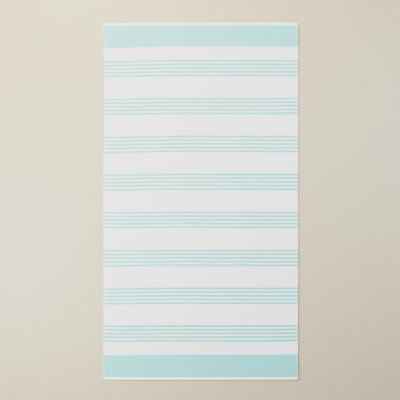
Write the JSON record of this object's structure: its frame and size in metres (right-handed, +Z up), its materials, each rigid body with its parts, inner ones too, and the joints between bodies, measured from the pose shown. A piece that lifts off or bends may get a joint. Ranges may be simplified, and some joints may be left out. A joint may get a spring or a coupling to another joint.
{
  "type": "beach towel",
  "caption": "Long terry beach towel laid out flat, white with aqua end bands and groups of narrow aqua cross stripes, with white woven hems.",
  "frame": {"origin": "under the middle of the towel, on the surface that it lies on", "axes": "+X across the towel, +Y along its length, +Z up from the surface it lies on to its face"},
  "size_m": [0.9667, 1.775, 0.0043],
  "materials": {
    "terry_cotton": "matt looped cotton, white with yarn-dyed aqua stripes and bands"
  },
  "bodies": {
    "root": {"towel_cloth": "terry_cotton"}
  },
  "joints": []
}
